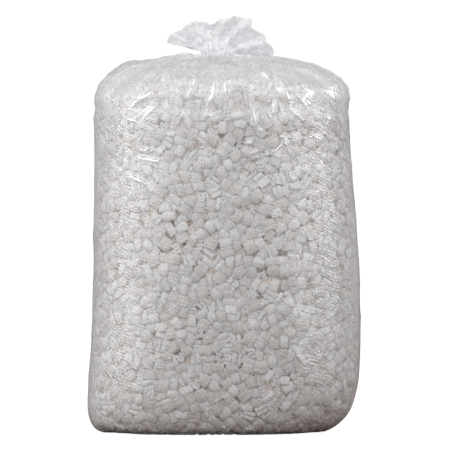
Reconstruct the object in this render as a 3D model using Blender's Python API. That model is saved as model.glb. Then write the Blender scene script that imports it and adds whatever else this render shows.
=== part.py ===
"""Clear film bag of packing peanuts, gathered at the top and closed with a twist tie.

Metres, +Z up. The origin is on the floor, under the middle of the bag. +X is the bag's right as seen from the front,
and the front looks along +Y, so it faces -Y.

The pieces:
  film_bag      one blown film tube with a flat heat-sealed foot, its mouth gathered through the neck into a tuft
  neck_tie      a coated wire wound once around the neck, its ends twisted together at the back
  peanut_fill   the packed mass of loose fill, up to its heaped top
  peanut_01...  single peanuts that lie loose on that heap, in the air space under the film
"""

import math
import random

import bmesh
import bpy
import numpy as np
from mathutils import Matrix, Vector

# ---------------------------------------------------------------- driving dimensions, in metres
WALL = 0.0010  # film wall as drawn
FOOT_Z = 0.0  # the heat-sealed foot lies flat on the floor
NECK_Z = 1.180  # middle of the gathered neck
NECK_RADIUS = 0.0225  # outside of the bunched film under the tie
NECK_CHANNEL = 0.0035  # radius of the way that the bunched film leaves open
NECK_HEIGHT = 0.012
NECK_SHIFT = -0.033  # the neck sits a little left of the middle
NECK_PLEATS = 16
TUFT_SPREAD = 0.034  # half the depth of the tuft at its cut edge, ruffles apart
TUFT_RUFFLE = 0.013  # how far the ruffles swing to the front and back
TUFT_RUFFLES = 5.5  # ruffles from the tuft's right tip to its left tip
AROUND = 64  # facets around the film

TIE_WIRE = 0.0016  # radius of the coated wire
TIE_CLEARANCE = 0.0010
TIE_TAIL = 0.045  # length of the twisted ends
TIE_TWISTS = 4.0

FILL_GAP = 0.0030  # between the packed fill and the film's outer face, the wall included
FILL_TOP = 1.122  # crown of the heap
FILL_EDGE = 0.990  # where the heap meets the film
HEAP_POWER = 7.0  # how flat the heap's crown is

PEANUT_WIDTH = 0.0250  # across the S
PEANUT_HEIGHT = 0.0300  # along the S
PEANUT_LENGTH = 0.0335  # along the extrusion
PEANUT_RIBBON = 0.0086  # thickness of the foam ribbon that makes the S
LOOSE_PEANUTS = 40

# Sections of the standing bag: height, half width, half depth, sideways shift, squareness of the outline.
SECTIONS = (
    (0.000, 0.318, 0.256, -0.038, 3.0),
    (0.007, 0.354, 0.291, -0.036, 3.0),
    (0.030, 0.387, 0.319, -0.028, 3.0),
    (0.080, 0.4105, 0.336, -0.0145, 3.0),
    (0.170, 0.419, 0.343, -0.002, 3.0),
    (0.300, 0.4165, 0.345, 0.005, 2.9),
    (0.460, 0.413, 0.343, 0.006, 2.8),
    (0.615, 0.409, 0.339, 0.003, 2.8),
    (0.770, 0.402, 0.332, -0.002, 2.8),
    (0.888, 0.397, 0.327, -0.006, 2.7),
    (0.971, 0.396, 0.325, -0.009, 2.7),
    (1.030, 0.400, 0.3245, -0.0105, 2.6),
    (1.075, 0.3935, 0.319, -0.009, 2.6),
    (1.104, 0.375, 0.303, -0.009, 2.5),
    (1.127, 0.352, 0.282, -0.010, 2.45),
    (1.143, 0.324, 0.259, -0.011, 2.35),
    (1.154, 0.293, 0.233, -0.013, 2.25),
    (1.1625, 0.247, 0.195, -0.018, 2.15),
    (1.168, 0.180, 0.145, -0.025, 2.05),
    (1.1715, 0.080, 0.070, -0.032, 2.0),
)

# The tuft's cut edge, seen from the front: degrees up from the right, and length of film from the neck.
TUFT_EDGE = (
    (-1, 0.184),
    (8, 0.188),
    (13, 0.174),
    (22, 0.170),
    (31, 0.154),
    (37, 0.149),
    (43, 0.166),
    (57, 0.146),
    (68, 0.129),
    (85, 0.110),
    (97, 0.096),
    (108, 0.114),
    (128, 0.129),
    (141, 0.129),
    (151, 0.148),
    (166, 0.156),
)


# ---------------------------------------------------------------- shape of the film
def section_at(z):
    """Half width, half depth, shift and squareness of the bag at a height, straight between sections."""
    rows = np.array(SECTIONS)
    return [float(np.interp(z, rows[:, 0], rows[:, c])) for c in range(1, 5)]


def outline(theta, half_w, half_d, shift, square):
    """A rounded-square outline: a superellipse, walked by angle."""
    c, s = math.cos(theta), math.sin(theta)
    r = (abs(c / half_w) ** square + abs(s / half_d) ** square) ** (-1.0 / square)
    return shift + r * c, r * s


def pleat(theta, depth, count, phase=0.0):
    """Radial in-and-out of the gathers, uneven from one pleat to the next."""
    uneven = 1.0 + 0.30 * math.sin(3 * theta + 0.7 + phase)
    return depth * uneven * math.cos(count * theta + 0.5 * math.sin(2 * theta + phase))


def tuft_point(theta, t):
    """A point of the tuft: the tube of film above the tie is pressed flat from front to back and spreads as a fan,
    its right tip at angle 0 and its left tip at angle pi, with ruffles that run from the tie to the cut edge."""
    half_turn = theta if theta <= math.pi else 2 * math.pi - theta
    first, last = TUFT_EDGE[0][0], TUFT_EDGE[-1][0]
    degrees = first + (last - first) * half_turn / math.pi
    length = float(np.interp(degrees, *zip(*TUFT_EDGE)))
    front = theta > math.pi
    length *= 0.955 if front and 20 < degrees < 150 else 1.0
    fan = math.radians(degrees)
    ruffle = math.sin(2 * math.pi * TUFT_RUFFLES * half_turn / math.pi + 0.9)
    depth = TUFT_SPREAD * math.sin(theta) * (0.45 + 0.55 * t) + TUFT_RUFFLE * ruffle * t
    return (
        NECK_SHIFT + length * t * math.cos(fan),
        depth,
        NECK_Z + 0.004 + length * t * math.sin(fan),
    )


def film_rings():
    """The film's outer face as rings of points from the foot to the cut edge, and the wall under each ring."""
    angles = [2 * math.pi * k / AROUND for k in range(AROUND)]
    rings, kinds = [], []
    for z, half_w, half_d, shift, square in SECTIONS:
        gather = max(0.0, 1.0 - half_w / 0.36) ** 1.6  # pleats fade out over the shoulders
        ring = []
        for a in angles:
            x, y = outline(a, half_w, half_d, shift, square)
            away = pleat(a, 0.006, NECK_PLEATS) * gather
            ring.append((x + away * math.cos(a), y + away * math.sin(a), z))
        rings.append(ring)
        kinds.append("wall")
    for z, radius in (
        (NECK_Z - NECK_HEIGHT / 2 + 0.003, NECK_RADIUS + 0.014),
        (NECK_Z, NECK_RADIUS),
        (NECK_Z + NECK_HEIGHT, NECK_RADIUS + 0.001),
    ):
        ring = []
        for a in angles:
            r = radius + pleat(a, 0.0016, NECK_PLEATS)
            ring.append((NECK_SHIFT + r * math.cos(a), r * math.sin(a), z))
        rings.append(ring)
        kinds.append("neck")
    start = rings[-1]
    for t in (0.13, 0.24, 0.40, 0.60, 0.80, 1.0):
        free = min(1.0, t / 0.40) ** 0.8  # the film leaves the tie upright and then falls open
        ring = []
        for k, a in enumerate(angles):
            fan, neck = tuft_point(a, t), start[k]
            ring.append(
                (
                    neck[0] + (fan[0] - neck[0]) * free,
                    neck[1] + (fan[1] - neck[1]) * free,
                    neck[2] + 0.016 * min(1.0, t / 0.24) * (1 - free) + (fan[2] - neck[2]) * free,
                )
            )
        rings.append(ring)
        kinds.append("wall")
    return np.array(rings), kinds


def inner_rings(outer, kinds):
    """The film's inner face: the outer face moved in by the wall, drawn in to the channel through the neck."""
    around = np.roll(outer, -1, axis=1) - np.roll(outer, 1, axis=1)
    up = np.gradient(outer, axis=0)
    normal = np.cross(around, up)
    normal /= np.linalg.norm(normal, axis=2, keepdims=True)
    normal[0] = normal[0] * 0.5 + np.array([0.0, 0.0, -0.5])  # the foot's rim turns into the flat foot
    normal[0] /= np.linalg.norm(normal[0], axis=1, keepdims=True)
    inner = outer - normal * WALL
    inner[0, :, 2] = FOOT_Z + WALL
    for i, kind in enumerate(kinds):
        if kind == "neck":
            centre = np.array([NECK_SHIFT, 0.0, 0.0])
            flat = outer[i] - centre
            r = np.hypot(flat[:, 0], flat[:, 1])[:, None]
            inner[i, :, :2] = centre[:2] + flat[:, :2] / r * NECK_CHANNEL
    return inner


def film_mesh(outer, inner):
    """One closed body: outer face, inner face, the rim at the cut edge, and the flat foot on both sides."""
    bm = bmesh.new()
    out_v = [[bm.verts.new(p) for p in ring] for ring in outer]
    in_v = [[bm.verts.new(p) for p in ring] for ring in inner]
    count = len(outer)
    for i in range(count - 1):
        for k in range(AROUND):
            n = (k + 1) % AROUND
            bm.faces.new((out_v[i][k], out_v[i][n], out_v[i + 1][n], out_v[i + 1][k]))
            bm.faces.new((in_v[i][k], in_v[i + 1][k], in_v[i + 1][n], in_v[i][n]))
    for k in range(AROUND):
        n = (k + 1) % AROUND
        bm.faces.new((out_v[-1][k], out_v[-1][n], in_v[-1][n], in_v[-1][k]))
    bm.faces.new(list(reversed(out_v[0])))
    bm.faces.new(in_v[0])
    return bm


# ---------------------------------------------------------------- shape of the fill
def fill_mesh():
    """The packed fill: the bag's inside drawn in by a gap, closed by a heaped top."""
    bm = bmesh.new()
    around = 40
    angles = [2 * math.pi * k / around for k in range(around)]
    rings = []
    for z in (WALL + 0.0003, 0.008, 0.030, 0.080, 0.170, 0.300, 0.460, 0.620, 0.780, 0.900, FILL_EDGE):
        half_w, half_d, shift, square = section_at(max(z - WALL, 0.0))
        gap = FILL_GAP + 0.004 * max(0.0, 1.0 - z / 0.05)
        rings.append(
            [(*outline(a, half_w - gap, half_d - gap, shift, square), z) for a in angles]
        )
    half_w, half_d, shift, square = section_at(FILL_EDGE)
    for part in (0.97, 0.92, 0.85, 0.75, 0.60, 0.30):
        z = FILL_EDGE + (FILL_TOP - FILL_EDGE) * (1.0 - part ** HEAP_POWER)
        rings.append(
            [
                (*outline(a, (half_w - FILL_GAP) * part, (half_d - FILL_GAP) * part, shift, square), z)
                for a in angles
            ]
        )
    verts = [[bm.verts.new(p) for p in ring] for ring in rings]
    for i in range(len(verts) - 1):
        for k in range(around):
            n = (k + 1) % around
            bm.faces.new((verts[i][k], verts[i][n], verts[i + 1][n], verts[i + 1][k]))
    bm.faces.new(list(reversed(verts[0])))
    bm.faces.new(verts[-1])
    return bm


def heap_height(x, y):
    """Height of the heap's top above the floor at a point."""
    half_w, half_d, shift, square = section_at(FILL_EDGE)
    u, v = abs(x - shift) / (half_w - FILL_GAP), abs(y) / (half_d - FILL_GAP)
    part = (u ** square + v ** square) ** (1.0 / square)
    return FILL_EDGE + (FILL_TOP - FILL_EDGE) * (1.0 - min(part, 1.0) ** HEAP_POWER)


# ---------------------------------------------------------------- one peanut
def s_line():
    """Middle line of the S-shaped ribbon: three strokes, one above the other, and the two bends that join them."""
    side = (PEANUT_WIDTH - PEANUT_RIBBON) / 2
    rise = (PEANUT_HEIGHT - PEANUT_RIBBON) / 2
    half = np.array(
        [
            (side + 0.0010, rise),  # free end of the top stroke, flush with the side
            (0.0042 - side, rise),
            (-side, 0.74 * rise),
            (-side, 0.26 * rise),
            (0.0042 - side, 0.0),
        ]
    )
    return np.vstack([half, -half[::-1]])


def peanut_mesh():
    """A slice of S-shaped ribbon, with its ends drawn in where the hot foam was cut."""
    line = s_line()
    along = np.gradient(line, axis=0)
    along /= np.linalg.norm(along, axis=1)[:, None]
    side = np.stack([-along[:, 1], along[:, 0]], axis=1) * PEANUT_RIBBON / 2
    tip = 0.62 * PEANUT_RIBBON / 2
    left, right = line + side, line - side
    cap_a, cap_b = line[0] - along[0] * tip, line[-1] + along[-1] * tip
    edge = np.vstack([cap_a[None], right, cap_b[None], left[::-1]])
    centre = edge.mean(axis=0)
    bm = bmesh.new()
    rings = []
    for w, shrink in ((-0.5, 0.86), (-0.43, 1.0), (0.43, 1.0), (0.5, 0.86)):
        # Each ring keeps the S and thins its ribbon, so that the ends are rounded.
        thin = np.vstack(
            [
                (line[0] - along[0] * tip * shrink)[None],
                line - side * shrink,
                (line[-1] + along[-1] * tip * shrink)[None],
                (line + side * shrink)[::-1],
            ]
        )
        thin = centre + (thin - centre) * (0.97 if shrink < 1 else 1.0)
        rings.append([bm.verts.new((p[0], p[1], w * PEANUT_LENGTH)) for p in thin])
    n = len(rings[0])
    for i in range(len(rings) - 1):
        for k in range(n):
            m = (k + 1) % n
            bm.faces.new((rings[i][k], rings[i][m], rings[i + 1][m], rings[i + 1][k]))
    bm.faces.new(list(reversed(rings[0])))
    bm.faces.new(rings[-1])
    bmesh.ops.recalc_face_normals(bm, faces=bm.faces)
    return bm


def film_height(x, y):
    """Height of the film above the floor at a point of the shoulders."""
    rows = np.array(SECTIONS[11:])
    part = (np.abs((x - rows[:, 3]) / rows[:, 1]) ** rows[:, 4] + np.abs(y / rows[:, 2]) ** rows[:, 4]) ** (
        1.0 / rows[:, 4]
    )
    return float(np.interp(1.0, part, rows[:, 0]))


def loose_places():
    """Where the loose peanuts lie: a sunflower spread over the heap, each turned its own way."""
    dice = random.Random(20)
    places = []
    golden = math.pi * (3 - math.sqrt(5))
    for k in range(LOOSE_PEANUTS):
        spread = math.sqrt((k + 0.5) / LOOSE_PEANUTS)
        a = k * golden
        x = -0.022 + 0.232 * spread * math.cos(a)
        y = 0.162 * spread * math.sin(a)
        lying = dice.random() < 0.75  # on its side, or else standing on a cut end
        spin = dice.uniform(0, 2 * math.pi)
        roll = dice.choice((0.0, math.pi / 2))
        # The heap falls away under the peanut, so it rests on the heap's highest point below it, and it lies flat
        # where the film is low.
        reach = 0.021
        around = [(x + reach * math.cos(i * math.pi / 4), y + reach * math.sin(i * math.pi / 4)) for i in range(8)]
        top = max([heap_height(x, y)] + [heap_height(*p) for p in around])
        room = min(film_height(*p) for p in around) - top - 0.004
        if not lying and room < PEANUT_LENGTH:
            lying = True
        if lying and roll == 0.0 and room < PEANUT_HEIGHT:
            roll = math.pi / 2
        tall = PEANUT_LENGTH if not lying else PEANUT_HEIGHT if roll == 0.0 else PEANUT_WIDTH
        turn = (
            Matrix.Rotation(spin, 3, "Z")
            @ Matrix.Rotation(math.radians(90 if lying else 0), 3, "X")
            @ Matrix.Rotation(roll if lying else 0.0, 3, "Z")
        )
        places.append((Vector((x, y, top + tall / 2 + 0.0012)), turn))
    return places


# ---------------------------------------------------------------- the tie
def tie_line():
    """Path of the coated wire: once around the neck, then its two ends twisted around each other at the back."""
    r = NECK_RADIUS + 0.0016 * 1.3 + TIE_CLEARANCE + TIE_WIRE
    z = NECK_Z + 0.004
    loop = []
    for k in range(29):  # open at the back, where +Y is
        a = math.radians(90 + 14 + (360 - 28) * k / 28)
        loop.append(Vector((NECK_SHIFT + r * math.cos(a), r * math.sin(a), z)))
    root = Vector((NECK_SHIFT, r + 0.007, z))

    def strand(side):
        points = []
        for k in range(1, 18):
            t = k / 17
            a = side * math.pi / 2 + 2 * math.pi * TIE_TWISTS * t
            sweep = TIE_WIRE * 1.25
            points.append(
                root
                + Vector(
                    (
                        0.010 * t * t + sweep * math.sin(a),
                        TIE_TAIL * t * 0.92,
                        sweep * math.cos(a) + 0.012 * t,
                    )
                )
            )
        return points

    return loop, strand(1), strand(-1)


def wire_object(name, points, material):
    curve = bpy.data.curves.new(name, "CURVE")
    curve.dimensions = "3D"
    spline = curve.splines.new("POLY")
    spline.points.add(len(points) - 1)
    for target, p in zip(spline.points, points):
        target.co = (*p, 1.0)
    curve.bevel_depth = TIE_WIRE
    curve.bevel_resolution = 1
    curve.use_fill_caps = True
    obj = bpy.data.objects.new(name, curve)
    obj.data.materials.append(material)
    bpy.context.scene.collection.objects.link(obj)
    return obj


# ---------------------------------------------------------------- materials and objects
def material(name, colour, roughness, alpha=1.0):
    made = bpy.data.materials.new(name)
    made.use_nodes = True
    shader = made.node_tree.nodes["Principled BSDF"]
    shader.inputs["Base Color"].default_value = (*colour, 1.0)
    shader.inputs["Roughness"].default_value = roughness
    shader.inputs["Metallic"].default_value = 0.0
    shader.inputs["Alpha"].default_value = alpha
    return made


def link_mesh(name, mesh, mat, smooth=True):
    if not mesh.materials:
        mesh.materials.append(mat)
    if smooth:
        mesh.shade_smooth()
        mesh.set_sharp_from_angle(angle=math.radians(50))
    obj = bpy.data.objects.new(name, mesh)
    bpy.context.scene.collection.objects.link(obj)
    return obj


def mesh_from(name, bm):
    mesh = bpy.data.meshes.new(name)
    bm.to_mesh(mesh)
    bm.free()
    return mesh


def build():
    for obj in list(bpy.data.objects):
        bpy.data.objects.remove(obj, do_unlink=True)

    clear_film = material("clear_film", (0.86, 0.87, 0.88), 0.12, 0.25)
    white_foam = material("white_foam", (0.86, 0.86, 0.87), 0.75)
    coated_wire = material("coated_wire", (0.90, 0.90, 0.88), 0.40)

    outer, kinds = film_rings()
    inner = inner_rings(outer, kinds)
    low = np.minimum(outer.min(axis=(0, 1)), inner.min(axis=(0, 1)))
    high = np.maximum(outer.max(axis=(0, 1)), inner.max(axis=(0, 1)))
    frame = bpy.data.objects.new("bag_frame", None)  # carries every piece, and puts the origin under the middle
    frame.location = (-(low[0] + high[0]) / 2, -(low[1] + high[1]) / 2, 0.0)
    bpy.context.scene.collection.objects.link(frame)

    pieces = [link_mesh("film_bag", mesh_from("film_bag", film_mesh(outer, inner)), clear_film)]
    pieces.append(link_mesh("peanut_fill", mesh_from("peanut_fill", fill_mesh()), white_foam))

    shared = mesh_from("peanut", peanut_mesh())
    for k, (place, turn) in enumerate(loose_places()):
        peanut = link_mesh(f"peanut_{k + 1:02d}", shared, white_foam, smooth=(k == 0))
        peanut.matrix_world = Matrix.Translation(place) @ turn.to_4x4()
        pieces.append(peanut)

    loop, strand_a, strand_b = tie_line()
    pieces.append(wire_object("neck_tie", strand_a[::-1] + loop + strand_b, coated_wire))

    for piece in pieces:
        piece.parent = frame


build()
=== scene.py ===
"""The looks of a clear film bag full of packing peanuts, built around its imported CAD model.

The film is a lofted sheet stretched over the peanuts, with slack at the shoulders, gathers at the neck and a ruffled
tuft. The peanuts are packed by a small simulation of rigid bodies between the film and a core that nobody sees.
Metres, +Z up, the front faces -Y.
"""

import math
import random
import time

import bpy
import numpy as np
from mathutils import Matrix, Vector


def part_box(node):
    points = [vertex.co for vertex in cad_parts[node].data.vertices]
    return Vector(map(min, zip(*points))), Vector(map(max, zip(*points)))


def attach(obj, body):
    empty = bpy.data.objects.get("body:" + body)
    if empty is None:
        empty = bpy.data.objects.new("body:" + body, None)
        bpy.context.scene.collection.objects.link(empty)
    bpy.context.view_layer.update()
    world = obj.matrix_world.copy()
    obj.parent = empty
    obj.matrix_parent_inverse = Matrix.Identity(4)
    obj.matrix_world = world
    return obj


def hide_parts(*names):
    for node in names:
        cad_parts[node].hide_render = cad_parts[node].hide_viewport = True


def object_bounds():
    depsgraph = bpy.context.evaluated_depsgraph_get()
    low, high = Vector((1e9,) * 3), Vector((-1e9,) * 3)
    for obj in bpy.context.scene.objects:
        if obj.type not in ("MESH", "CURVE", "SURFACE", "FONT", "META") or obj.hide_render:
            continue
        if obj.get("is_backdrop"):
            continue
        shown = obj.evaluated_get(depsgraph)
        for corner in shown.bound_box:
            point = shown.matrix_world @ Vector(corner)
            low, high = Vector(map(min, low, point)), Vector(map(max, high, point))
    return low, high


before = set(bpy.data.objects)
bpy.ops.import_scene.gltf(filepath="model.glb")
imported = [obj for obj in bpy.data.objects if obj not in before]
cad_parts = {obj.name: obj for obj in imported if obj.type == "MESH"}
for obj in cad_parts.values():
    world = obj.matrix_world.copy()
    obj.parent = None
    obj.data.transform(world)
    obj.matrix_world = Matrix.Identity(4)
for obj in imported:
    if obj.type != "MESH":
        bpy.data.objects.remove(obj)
cad_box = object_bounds()
started = time.time()
rng = np.random.default_rng(7)

# ---------------------------------------------------------------- the bag's shape, as in the CAD model
# Sections of the standing bag: height, half width, half depth, sideways shift, squareness of the outline.
SECTIONS = (
    (0.000, 0.318, 0.256, -0.038, 3.0),
    (0.007, 0.354, 0.291, -0.036, 3.0),
    (0.030, 0.387, 0.319, -0.028, 3.0),
    (0.080, 0.4105, 0.336, -0.0145, 3.0),
    (0.170, 0.419, 0.343, -0.002, 3.0),
    (0.300, 0.4165, 0.345, 0.005, 2.9),
    (0.460, 0.413, 0.343, 0.006, 2.8),
    (0.615, 0.409, 0.339, 0.003, 2.8),
    (0.770, 0.402, 0.332, -0.002, 2.8),
    (0.888, 0.397, 0.327, -0.006, 2.7),
    (0.971, 0.396, 0.325, -0.009, 2.7),
    (1.030, 0.400, 0.3245, -0.0105, 2.6),
    (1.075, 0.3935, 0.319, -0.009, 2.6),
    (1.104, 0.375, 0.303, -0.009, 2.5),
    (1.127, 0.352, 0.282, -0.010, 2.45),
    (1.143, 0.324, 0.259, -0.011, 2.35),
    (1.154, 0.293, 0.233, -0.013, 2.25),
    (1.1625, 0.247, 0.195, -0.018, 2.15),
    (1.168, 0.180, 0.145, -0.025, 2.05),
    (1.1715, 0.080, 0.070, -0.032, 2.0),
)
# The tuft's cut edge, seen from the front: degrees up from the right, and length of film from the neck.
TUFT_EDGE = (
    (-6, 0.184),
    (6, 0.188),
    (13, 0.174),
    (22, 0.170),
    (31, 0.154),
    (37, 0.149),
    (43, 0.166),
    (57, 0.146),
    (68, 0.129),
    (85, 0.110),
    (97, 0.096),
    (108, 0.114),
    (128, 0.129),
    (141, 0.129),
    (151, 0.148),
    (166, 0.156),
)
NECK_Z, NECK_RADIUS, NECK_SHIFT = 1.180, 0.0225, -0.033
FILL_TOP, FILL_EDGE, FILL_GAP, HEAP_POWER = 1.122, 0.990, 0.0030, 7.0
DOME = (1.140, 5.2)  # crown and flatness of the heap with its loose top layer
PEANUT_WIDTH, PEANUT_HEIGHT, PEANUT_LENGTH, PEANUT_RIBBON = 0.0250, 0.0300, 0.0335, 0.0090
LOOSE_PEANUTS = 40
rows = np.array(SECTIONS)
# The CAD model stands with the middle of its box over the origin.
SIDE_SHIFT = -((rows[:, 3] + rows[:, 1]).max() + (rows[:, 3] - rows[:, 1]).min()) / 2
rows[:, 3] += SIDE_SHIFT
NECK_X = NECK_SHIFT + SIDE_SHIFT


def smooth(x, lo=0.0, hi=1.0):
    t = np.clip((x - lo) / (hi - lo), 0.0, 1.0)
    return t * t * (3 - 2 * t)


def monotone(x, xs, ys):
    """Monotone cubic interpolation, which never swings past its points."""
    x, xs, ys = np.asarray(x, float), np.asarray(xs, float), np.asarray(ys, float)
    h = np.diff(xs)
    d = np.diff(ys) / h
    m = np.zeros(len(xs))
    m[0], m[-1] = d[0], d[-1]
    same = d[:-1] * d[1:] > 0
    w1, w2 = 2 * h[1:] + h[:-1], h[1:] + 2 * h[:-1]
    with np.errstate(divide="ignore", invalid="ignore"):
        m[1:-1] = np.where(same, (w1 + w2) / (w1 / d[:-1] + w2 / d[1:]), 0.0)
    i = np.clip(np.searchsorted(xs, x, side="right") - 1, 0, len(h) - 1)
    t = (x - xs[i]) / h[i]
    a, b = ys[i], ys[i + 1]
    return (
        a * (1 + 2 * t) * (1 - t) ** 2
        + m[i] * h[i] * t * (1 - t) ** 2
        + b * t * t * (3 - 2 * t)
        + m[i + 1] * h[i] * t * t * (t - 1)
    )


along = np.concatenate([[0.0], np.cumsum(np.hypot(np.diff(rows[:, 0]), np.diff(rows[:, 1])))])
PROFILE_LENGTH = along[-1]


def profile(s):
    """Height, half width, half depth, shift and squareness at a length of film up from the foot's rim."""
    return [monotone(s, along, rows[:, c]) for c in range(5)]


fine = np.linspace(0.0, PROFILE_LENGTH, 1200)
fine_rows = np.stack(profile(fine), axis=1)


def section_at(z):
    """Half width, half depth, shift and squareness of the bag at a height."""
    return [np.interp(z, fine_rows[:, 0], fine_rows[:, c]) for c in range(1, 5)]


def polar(theta, half_w, half_d, square):
    return (
        np.abs(np.cos(theta) / half_w) ** square + np.abs(np.sin(theta) / half_d) ** square
    ) ** (-1.0 / square)


def fraction(x, y, z):
    """How far out a point is in its section: 0 in the middle, 1 on the film."""
    half_w, half_d, shift, square = section_at(z)
    u, v = np.abs(x - shift) / half_w, np.abs(y) / half_d
    return (u**square + v**square) ** (1.0 / square)


def wall_depth(p):
    """Depth of points inside the film's side wall, and the direction straight out of it."""
    x, y, z = p[:, 0], p[:, 1], p[:, 2]
    e = 1e-4
    f = fraction(x, y, z)
    g = np.stack(
        [
            (fraction(x + e, y, z) - fraction(x - e, y, z)) / (2 * e),
            (fraction(x, y + e, z) - fraction(x, y - e, z)) / (2 * e),
            (fraction(x, y, z + e) - fraction(x, y, z - e)) / (2 * e),
        ],
        axis=1,
    )
    size = np.linalg.norm(g, axis=1) + 1e-9
    return (1.0 - f) / size, g / size[:, None]


heap_w, heap_d, heap_shift, heap_square = [float(v) for v in section_at(FILL_EDGE)]


def heap_height(x, y, top=FILL_TOP, power=HEAP_POWER):
    """Height of the heap's top above the floor at a point: in the CAD model, or with the loose layer on it."""
    u, v = np.abs(x - heap_shift) / (heap_w - FILL_GAP), np.abs(y) / (heap_d - FILL_GAP)
    part = (u**heap_square + v**heap_square) ** (1.0 / heap_square)
    return FILL_EDGE + (top - FILL_EDGE) * (1.0 - np.minimum(part, 1.0) ** power)


def heap_depth(p):
    x, y, z = p[:, 0], p[:, 1], p[:, 2]
    e = 1e-3
    h = heap_height(x, y, *DOME)
    gx = (heap_height(x + e, y, *DOME) - heap_height(x - e, y, *DOME)) / (2 * e)
    gy = (heap_height(x, y + e, *DOME) - heap_height(x, y - e, *DOME)) / (2 * e)
    out = np.stack([-gx, -gy, np.ones(len(x))], axis=1)
    size = np.linalg.norm(out, axis=1)
    return (h - z) / size, out / size[:, None]


# ---------------------------------------------------------------- packing the peanuts
SKIN = 0.050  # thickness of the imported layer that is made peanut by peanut


def depth_in_fill(p):
    """Depth of points under the fill's surface, whichever side of it is nearest, and the way straight out."""
    side, side_out = wall_depth(p)
    top, top_out = heap_depth(p)
    foot = p[:, 2] - 0.0078
    depth, out = side.copy(), side_out.copy()
    use = top < depth
    depth[use], out[use] = top[use], top_out[use]
    use = foot < depth
    depth[use], out[use] = foot[use], (0.0, 0.0, -1.0)
    return depth, out


def near_pairs(p, reach):
    """Pairs of points nearer to each other than reach, each pair once."""
    cell = np.floor(p / reach).astype(np.int64)
    cell -= cell.min(axis=0)
    span = cell.max(axis=0) + 3
    key = ((cell[:, 0] + 1) * span[1] + cell[:, 1] + 1) * span[2] + cell[:, 2] + 1
    order = np.argsort(key, kind="stable")
    sorted_key = key[order]
    first, second = [], []
    for dx, dy, dz in (
        (0, 0, 0), (0, 0, 1), (0, 1, -1), (0, 1, 0), (0, 1, 1), (1, -1, -1), (1, -1, 0),
        (1, -1, 1), (1, 0, -1), (1, 0, 0), (1, 0, 1), (1, 1, -1), (1, 1, 0), (1, 1, 1),
    ):
        other = key + (dx * span[1] + dy) * span[2] + dz
        lo = np.searchsorted(sorted_key, other, side="left")
        hi = np.searchsorted(sorted_key, other, side="right")
        n = hi - lo
        a = np.repeat(np.arange(len(p)), n)
        start = np.repeat(lo - np.concatenate([[0], np.cumsum(n)[:-1]]), n)
        b = order[start + np.arange(len(a))]
        if (dx, dy, dz) == (0, 0, 0):
            keep = a < b
            a, b = a[keep], b[keep]
        near = ((p[a] - p[b]) ** 2).sum(axis=1) < reach * reach
        first.append(a[near])
        second.append(b[near])
    return np.concatenate(first), np.concatenate(second)


def random_turns(n):
    q = rng.normal(size=(n, 4))
    q /= np.linalg.norm(q, axis=1, keepdims=True)
    w, x, y, z = q.T
    return np.stack(
        [
            np.stack([1 - 2 * (y * y + z * z), 2 * (x * y - z * w), 2 * (x * z + y * w)], axis=1),
            np.stack([2 * (x * y + z * w), 1 - 2 * (x * x + z * z), 2 * (y * z - x * w)], axis=1),
            np.stack([2 * (x * z - y * w), 2 * (y * z + x * w), 1 - 2 * (x * x + y * y)], axis=1),
        ],
        axis=1,
    )


BALL = 0.0082
# A peanut as eight balls in its own axes: x across the S, y along the S, z along the extrusion.
BALLS = np.array(
    [
        (sx * (PEANUT_WIDTH / 2 - BALL), sy * (PEANUT_HEIGHT / 2 - BALL), sz * (PEANUT_LENGTH / 2 - BALL))
        for sx in (-1, 1)
        for sy in (-1, 1)
        for sz in (-1, 1)
    ]
)


def film_height(x, y):
    """Height of the CAD model's film above the floor at a point of the shoulders."""
    top = np.array(SECTIONS[11:])
    part = (np.abs((x - top[:, 3]) / top[:, 1]) ** top[:, 4] + np.abs(y / top[:, 2]) ** top[:, 4]) ** (1.0 / top[:, 4])
    return float(np.interp(1.0, part, top[:, 0]))


def loose_places():
    """Where the CAD model's loose peanuts lie on the heap: the same spread and turns as there."""
    dice = random.Random(20)
    places, turns = [], []
    golden = math.pi * (3 - math.sqrt(5))
    for k in range(LOOSE_PEANUTS):
        spread = math.sqrt((k + 0.5) / LOOSE_PEANUTS)
        a = k * golden
        x = -0.022 + 0.232 * spread * math.cos(a)
        y = 0.162 * spread * math.sin(a)
        lying = dice.random() < 0.75
        spin = dice.uniform(0, 2 * math.pi)
        roll = dice.choice((0.0, math.pi / 2))
        reach = 0.021
        around = [(x + reach * math.cos(i * math.pi / 4), y + reach * math.sin(i * math.pi / 4)) for i in range(8)]
        top = max(float(heap_height(px + SIDE_SHIFT, py)) for px, py in [(x, y)] + around)
        room = min(film_height(*at) for at in around) - top - 0.004
        if not lying and room < PEANUT_LENGTH:
            lying = True
        if lying and roll == 0.0 and room < PEANUT_HEIGHT:
            roll = math.pi / 2
        turns.append(
            Matrix.Rotation(spin, 3, "Z")
            @ Matrix.Rotation(math.radians(90 if lying else 0), 3, "X")
            @ Matrix.Rotation(roll if lying else 0.0, 3, "Z")
        )
        low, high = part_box(f"peanut_{k + 1:02d}")
        places.append([(a + b) / 2 for a, b in zip(low, high)])
    return np.array(places), np.array([np.array(t) for t in turns])


def turn_by(spin):
    """Rotation matrices for small turns given as vectors."""
    angle = np.linalg.norm(spin, axis=1)
    axis = spin / (angle[:, None] + 1e-12)
    x, y, z = axis.T
    zero = np.zeros_like(x)
    cross = np.stack([np.stack([zero, -z, y], 1), np.stack([z, zero, -x], 1), np.stack([-y, x, zero], 1)], axis=1)
    sin, cos = np.sin(angle)[:, None, None], np.cos(angle)[:, None, None]
    return np.eye(3)[None] + sin * cross + (1 - cos) * (cross @ cross)


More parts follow.
